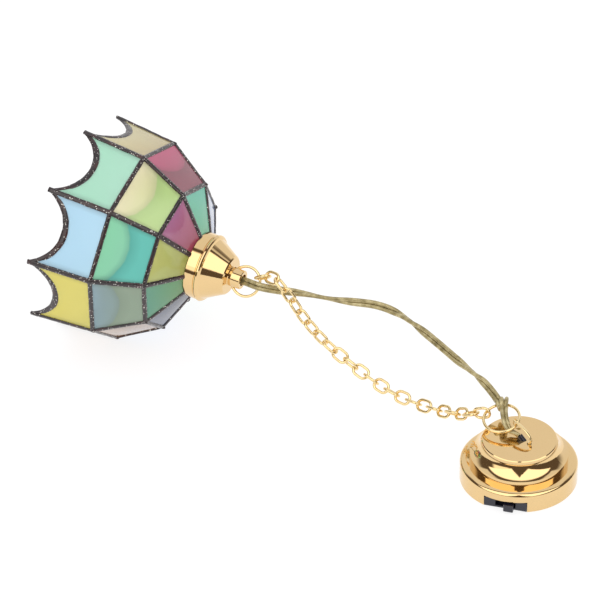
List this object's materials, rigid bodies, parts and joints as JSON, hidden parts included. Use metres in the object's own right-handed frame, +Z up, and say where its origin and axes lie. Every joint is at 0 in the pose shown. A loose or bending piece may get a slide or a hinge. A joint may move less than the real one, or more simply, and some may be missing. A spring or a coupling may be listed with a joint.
{
  "type": "dolls house pendant lamp",
  "caption": "Miniature pendant lamp with a faceted stained-glass style shade on a chain and twin cord from a round battery canopy with a slide switch.",
  "frame": {"origin": "centre of the canopy's flat mounting face, which lies on the table", "axes": "+Z up from the table; +X along the shade's axis from its open mouth towards the canopy; the shade lies at -X and the switch faces -Y"},
  "size_m": [0.1008, 0.039, 0.0376],
  "materials": {
    "gold": "polished gold plate",
    "steel": "bright",
    "black_plastic": "semi-gloss",
    "cream_plastic": "gloss",
    "foam": "matt foam",
    "cord": "olive insulation over copper strands",
    "led_glass": "clear",
    "rim_glass": "translucent, panes of several colours",
    "middle_glass": "translucent, panes of several colours",
    "crown_glass": "translucent, panes of several colours",
    "leading": "dark glossy leading with a fine sparkle"
  },
  "bodies": {
    "root": {"adhesive_pad": "foam", "mounting_plate": "gold"},
    "canopy": {"canopy_shell": "gold", "battery_tray": "black_plastic", "battery_cell": "steel", "contact_top": "steel", "contact_spring": "steel", "switch_housing": "black_plastic", "switch_clip": "steel", "canopy_hook": "gold", "cord_sleeve": "black_plastic", "cord_tail": "cord"},
    "switch_lever": {"switch_lever": "black_plastic"},
    "base_ring": {"base_ring": "gold", "cord_knot": "cord"},
    "lamp_ring": {"lamp_ring": "gold", "cord_upper": "cord"},
    "lamp": {"cap_shell": "gold", "lamp_holder": "cream_plastic", "holder_washer": "steel", "led_lens": "led_glass", "led_leads": "steel", "panes_rim": "rim_glass", "panes_middle": "middle_glass", "panes_crown": "crown_glass", "ribs_rim": "leading", "ribs_middle": "leading", "ribs_crown": "leading", "bands_knee": "leading", "bands_shoulder": "leading", "rim_scallops": "leading"},
    "link_01": {"link_01": "gold"},
    "link_02": {"link_02": "gold"},
    "link_03": {"link_03": "gold"},
    "link_04": {"link_04": "gold"},
    "link_05": {"link_05": "gold"},
    "link_06": {"link_06": "gold"},
    "link_07": {"link_07": "gold"},
    "link_08": {"link_08": "gold"},
    "link_09": {"link_09": "gold"},
    "link_10": {"link_10": "gold"},
    "link_11": {"link_11": "gold"},
    "link_12": {"link_12": "gold"},
    "link_13": {"link_13": "gold"},
    "link_14": {"link_14": "gold"},
    "link_15": {"link_15": "gold"},
    "link_16": {"link_16": "gold"},
    "link_17": {"link_17": "gold"},
    "link_18": {"link_18": "gold"},
    "link_19": {"link_19": "gold"},
    "link_20": {"link_20": "gold"},
    "link_21": {"link_21": "gold"},
    "link_22": {"link_22": "gold"},
    "link_23": {"link_23": "gold"},
    "link_24": {"link_24": "gold"}
  },
  "joints": [
    {"name": "canopy_lift", "type": "slide", "parent": "root", "child": "canopy", "axis": [0, 0, 1], "range_m": [0, 0.006]},
    {"name": "switch_slide", "type": "slide", "parent": "canopy", "child": "switch_lever", "axis": [0.9799, 0.1994, 0], "range_m": [-0.0014, 0]},
    {"name": "ring_swing", "type": "hinge", "parent": "canopy", "child": "base_ring", "pos_m": [-0.001, 0.0009, 0.01], "axis": [0.146, 0.9893, 0], "range_deg": [0, 80], "deforming": ["cord_tail"]},
    {"name": "lamp_swing", "type": "hinge", "parent": "base_ring", "child": "lamp_ring", "pos_m": [-0.03066, 0.00628, 0.00885], "axis": [0, 0, 1], "range_deg": [-20, 20], "deforming": ["cord_upper"]},
    {"name": "shade_tilt", "type": "hinge", "parent": "lamp_ring", "child": "lamp", "pos_m": [-0.059, 0.0095, 0.01599], "axis": [0.0631, 0.5592, 0.8266], "range_deg": [-25, 25]},
    {"name": "link_01_turn", "type": "hinge", "parent": "base_ring", "child": "link_01", "pos_m": [-0.00678, 0.00175, 0.01], "axis": [0, 0, 1], "range_deg": [-0.83, 0.83]},
    {"name": "link_02_turn", "type": "hinge", "parent": "base_ring", "child": "link_02", "pos_m": [-0.00785, 0.00167, 0.00959], "axis": [0, 0, 1], "range_deg": [-1.67, 1.67]},
    {"name": "link_03_turn", "type": "hinge", "parent": "base_ring", "child": "link_03", "pos_m": [-0.00887, 0.00176, 0.00911], "axis": [0, 0, 1], "range_deg": [-2.5, 2.5]},
    {"name": "link_04_turn", "type": "hinge", "parent": "base_ring", "child": "link_04", "pos_m": [-0.00987, 0.00196, 0.0086], "axis": [0, 0, 1], "range_deg": [-3.33, 3.33]},
    {"name": "link_05_turn", "type": "hinge", "parent": "base_ring", "child": "link_05", "pos_m": [-0.01086, 0.00222, 0.00811], "axis": [0, 0, 1], "range_deg": [-4.17, 4.17]},
    {"name": "link_06_turn", "type": "hinge", "parent": "base_ring", "child": "link_06", "pos_m": [-0.01187, 0.00252, 0.00766], "axis": [0, 0, 1], "range_deg": [-5, 5]},
    {"name": "link_07_turn", "type": "hinge", "parent": "base_ring", "child": "link_07", "pos_m": [-0.01289, 0.00281, 0.00726], "axis": [0, 0, 1], "range_deg": [-5.83, 5.83]},
    {"name": "link_08_turn", "type": "hinge", "parent": "base_ring", "child": "link_08", "pos_m": [-0.01394, 0.00309, 0.00691], "axis": [0, 0, 1], "range_deg": [-6.67, 6.67]},
    {"name": "link_09_turn", "type": "hinge", "parent": "base_ring", "child": "link_09", "pos_m": [-0.01501, 0.00335, 0.00662], "axis": [0, 0, 1], "range_deg": [-7.5, 7.5]},
    {"name": "link_10_turn", "type": "hinge", "parent": "base_ring", "child": "link_10", "pos_m": [-0.01609, 0.0036, 0.00639], "axis": [0, 0, 1], "range_deg": [-8.33, 8.33]},
    {"name": "link_11_turn", "type": "hinge", "parent": "base_ring", "child": "link_11", "pos_m": [-0.01717, 0.00384, 0.00623], "axis": [0, 0, 1], "range_deg": [-9.17, 9.17]},
    {"name": "link_12_turn", "type": "hinge", "parent": "base_ring", "child": "link_12", "pos_m": [-0.01826, 0.00409, 0.00611], "axis": [0, 0, 1], "range_deg": [-10, 10]},
    {"name": "link_13_turn", "type": "hinge", "parent": "base_ring", "child": "link_13", "pos_m": [-0.01936, 0.00433, 0.00605], "axis": [0, 0, 1], "range_deg": [-10.83, 10.83]},
    {"name": "link_14_turn", "type": "hinge", "parent": "base_ring", "child": "link_14", "pos_m": [-0.02045, 0.00457, 0.00605], "axis": [0, 0, 1], "range_deg": [-11.67, 11.67]},
    {"name": "link_15_turn", "type": "hinge", "parent": "base_ring", "child": "link_15", "pos_m": [-0.02153, 0.00479, 0.0061], "axis": [0, 0, 1], "range_deg": [-12.5, 12.5]},
    {"name": "link_16_turn", "type": "hinge", "parent": "base_ring", "child": "link_16", "pos_m": [-0.02261, 0.00499, 0.00621], "axis": [0, 0, 1], "range_deg": [-13.33, 13.33]},
    {"name": "link_17_turn", "type": "hinge", "parent": "base_ring", "child": "link_17", "pos_m": [-0.02368, 0.00517, 0.00638], "axis": [0, 0, 1], "range_deg": [-14.17, 14.17]},
    {"name": "link_18_turn", "type": "hinge", "parent": "base_ring", "child": "link_18", "pos_m": [-0.02473, 0.00535, 0.0066], "axis": [0, 0, 1], "range_deg": [-15, 15]},
    {"name": "link_19_turn", "type": "hinge", "parent": "base_ring", "child": "link_19", "pos_m": [-0.02577, 0.00552, 0.00687], "axis": [0, 0, 1], "range_deg": [-15.83, 15.83]},
    {"name": "link_20_turn", "type": "hinge", "parent": "base_ring", "child": "link_20", "pos_m": [-0.02679, 0.00568, 0.0072], "axis": [0, 0, 1], "range_deg": [-16.67, 16.67]},
    {"name": "link_21_turn", "type": "hinge", "parent": "base_ring", "child": "link_21", "pos_m": [-0.02777, 0.00584, 0.00758], "axis": [0, 0, 1], "range_deg": [-17.5, 17.5]},
    {"name": "link_22_turn", "type": "hinge", "parent": "base_ring", "child": "link_22", "pos_m": [-0.02873, 0.00598, 0.00801], "axis": [0, 0, 1], "range_deg": [-18.33, 18.33]},
    {"name": "link_23_turn", "type": "hinge", "parent": "base_ring", "child": "link_23", "pos_m": [-0.02969, 0.00612, 0.00845], "axis": [0, 0, 1], "range_deg": [-19.17, 19.17]},
    {"name": "link_24_turn", "type": "hinge", "parent": "base_ring", "child": "link_24", "pos_m": [-0.03066, 0.00628, 0.00885], "axis": [0, 0, 1], "range_deg": [-20, 20]}
  ],
  "couplings": [
    {"joint": "link_01_turn", "follows": "lamp_swing", "ratio": 0.041667},
    {"joint": "link_02_turn", "follows": "lamp_swing", "ratio": 0.083333},
    {"joint": "link_03_turn", "follows": "lamp_swing", "ratio": 0.125},
    {"joint": "link_04_turn", "follows": "lamp_swing", "ratio": 0.16667},
    {"joint": "link_05_turn", "follows": "lamp_swing", "ratio": 0.20833},
    {"joint": "link_06_turn", "follows": "lamp_swing", "ratio": 0.25},
    {"joint": "link_07_turn", "follows": "lamp_swing", "ratio": 0.29167},
    {"joint": "link_08_turn", "follows": "lamp_swing", "ratio": 0.33333},
    {"joint": "link_09_turn", "follows": "lamp_swing", "ratio": 0.375},
    {"joint": "link_10_turn", "follows": "lamp_swing", "ratio": 0.41667},
    {"joint": "link_11_turn", "follows": "lamp_swing", "ratio": 0.45833},
    {"joint": "link_12_turn", "follows": "lamp_swing", "ratio": 0.5},
    {"joint": "link_13_turn", "follows": "lamp_swing", "ratio": 0.54167},
    {"joint": "link_14_turn", "follows": "lamp_swing", "ratio": 0.58333},
    {"joint": "link_15_turn", "follows": "lamp_swing", "ratio": 0.625},
    {"joint": "link_16_turn", "follows": "lamp_swing", "ratio": 0.66667},
    {"joint": "link_17_turn", "follows": "lamp_swing", "ratio": 0.70833},
    {"joint": "link_18_turn", "follows": "lamp_swing", "ratio": 0.75},
    {"joint": "link_19_turn", "follows": "lamp_swing", "ratio": 0.79167},
    {"joint": "link_20_turn", "follows": "lamp_swing", "ratio": 0.83333},
    {"joint": "link_21_turn", "follows": "lamp_swing", "ratio": 0.875},
    {"joint": "link_22_turn", "follows": "lamp_swing", "ratio": 0.91667},
    {"joint": "link_23_turn", "follows": "lamp_swing", "ratio": 0.95833},
    {"joint": "link_24_turn", "follows": "lamp_swing", "ratio": 1}
  ]
}
